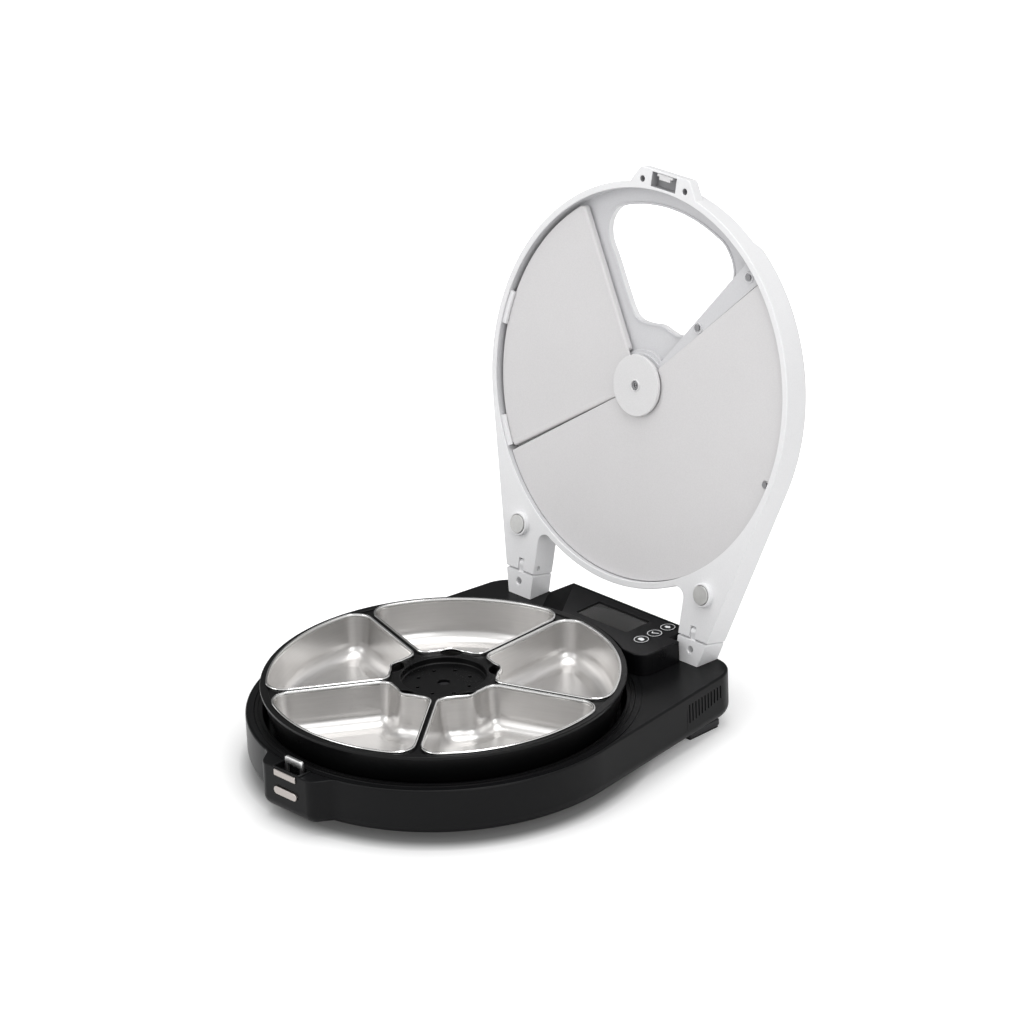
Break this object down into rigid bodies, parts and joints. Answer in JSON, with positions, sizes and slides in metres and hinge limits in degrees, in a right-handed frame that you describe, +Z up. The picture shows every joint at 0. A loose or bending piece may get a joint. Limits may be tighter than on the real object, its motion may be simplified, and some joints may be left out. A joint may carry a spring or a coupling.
{
  "type": "refrigerated rotating cat feeder",
  "caption": "Round refrigerated pet feeder: steel bowls on a turntable tray in a cooled well, and a hinged lid with a feeding window and a turning shutter.",
  "frame": {"origin": "on the ground under the middle of the bounding box, lid open", "axes": "+Z up, +X to the feeder's right seen from its front, -Y out of its front; the lid hinge is parallel to X at the back"},
  "size_m": [0.3278, 0.4464, 0.4162],
  "materials": {
    "black_plastic": "satin",
    "charcoal_plastic": "matte",
    "white_plastic": "satin",
    "grey_plastic": "satin",
    "stainless": "satin",
    "bright_metal": "polished",
    "aluminium": "satin",
    "foam": "matte",
    "board": "satin",
    "ceramic": "matte",
    "rubber": "matte",
    "smoked_glass": "gloss"
  },
  "bodies": {
    "base": {"base_bottom": "charcoal_plastic", "base_screw_1": "bright_metal", "base_screw_2": "bright_metal", "base_screw_3": "bright_metal", "base_screw_4": "bright_metal", "base_shell": "black_plastic", "cold_plate": "aluminium", "console_board": "board", "console_housing": "black_plastic", "control_board": "board", "display_module": "charcoal_plastic", "display_window": "smoked_glass", "drive_motor": "aluminium", "fan_frame": "black_plastic", "floor_insulation": "foam", "foot_pad_1": "rubber", "foot_pad_2": "rubber", "foot_pad_3": "rubber", "foot_pad_4": "rubber", "heat_sink": "aluminium", "hinge_pin_left": "bright_metal", "hinge_pin_right": "bright_metal", "hinge_post_left": "white_plastic", "hinge_post_right": "white_plastic", "latch_plate": "stainless", "power_inlet": "black_plastic", "thermoelectric_module": "ceramic", "well_insulation": "foam", "well_liner": "black_plastic"},
    "hub": {"drive_hub": "charcoal_plastic"},
    "tray": {"tray": "black_plastic"},
    "bowl_1": {"bowl_1": "stainless"},
    "bowl_2": {"bowl_2": "stainless"},
    "bowl_3": {"bowl_3": "stainless"},
    "bowl_4": {"bowl_4": "stainless"},
    "bowl_5": {"bowl_5": "stainless"},
    "fan": {"fan_rotor": "black_plastic"},
    "bail": {"latch_bail": "bright_metal"},
    "release": {"release_button": "stainless"},
    "button_1": {"button_1": "black_plastic"},
    "button_2": {"button_2": "black_plastic"},
    "button_3": {"button_3": "black_plastic"},
    "lid": {"lid_shell": "white_plastic", "main_panel": "grey_plastic", "side_plate": "grey_plastic", "shutter_deck": "white_plastic", "lid_insulation": "foam", "shutter_motor": "aluminium", "lid_keeper": "white_plastic", "magnet_right": "stainless", "magnet_left": "stainless", "panel_screw_1": "bright_metal", "panel_screw_2": "bright_metal", "panel_screw_3": "bright_metal"},
    "shutter": {"shutter": "grey_plastic", "hub_disc": "grey_plastic", "hub_screw": "bright_metal"}
  },
  "joints": [
    {"name": "hub_spin", "type": "hinge", "parent": "base", "child": "hub", "pos_m": [0, -0.05314, 0.037], "axis": [0, 0, 1], "continuous": true},
    {"name": "tray_lift", "type": "slide", "parent": "hub", "child": "tray", "axis": [0, 0, 1], "range_m": [0, 0.06]},
    {"name": "bowl_1_lift", "type": "slide", "parent": "tray", "child": "bowl_1", "axis": [0, 0, 1], "range_m": [0, 0.05]},
    {"name": "bowl_2_lift", "type": "slide", "parent": "tray", "child": "bowl_2", "axis": [0, 0, 1], "range_m": [0, 0.05]},
    {"name": "bowl_3_lift", "type": "slide", "parent": "tray", "child": "bowl_3", "axis": [0, 0, 1], "range_m": [0, 0.05]},
    {"name": "bowl_4_lift", "type": "slide", "parent": "tray", "child": "bowl_4", "axis": [0, 0, 1], "range_m": [0, 0.05]},
    {"name": "bowl_5_lift", "type": "slide", "parent": "tray", "child": "bowl_5", "axis": [0, 0, 1], "range_m": [0, 0.05]},
    {"name": "lid_hinge", "type": "hinge", "parent": "base", "child": "lid", "pos_m": [0, 0.13186, 0.072], "axis": [1, 0, 0], "range_deg": [0, 103.3]},
    {"name": "shutter_turn", "type": "hinge", "parent": "lid", "child": "shutter", "pos_m": [0, 0.16794, 0.24638], "axis": [0, -0.9732, 0.23], "range_deg": [-70, 0]},
    {"name": "bail_slide", "type": "slide", "parent": "base", "child": "bail", "axis": [0, 0, 1], "range_m": [0, 0.017]},
    {"name": "release_press", "type": "slide", "parent": "base", "child": "release", "axis": [0, 1, 0], "range_m": [0, 0.0025], "stiffness_N_per_m": 600, "springref_m": -0.001},
    {"name": "button_1_press", "type": "slide", "parent": "base", "child": "button_1", "axis": [0, 0, -1], "range_m": [0, 0.0006], "stiffness_N_per_m": 1500, "springref_m": -0.0003},
    {"name": "button_2_press", "type": "slide", "parent": "base", "child": "button_2", "axis": [0, 0, -1], "range_m": [0, 0.0006], "stiffness_N_per_m": 1500, "springref_m": -0.0003},
    {"name": "button_3_press", "type": "slide", "parent": "base", "child": "button_3", "axis": [0, 0, -1], "range_m": [0, 0.0006], "stiffness_N_per_m": 1500, "springref_m": -0.0003},
    {"name": "fan_spin", "type": "hinge", "parent": "base", "child": "fan", "pos_m": [0.12927, 0.09766, 0.032], "axis": [0.9903, 0.1392, 0], "continuous": true}
  ]
}
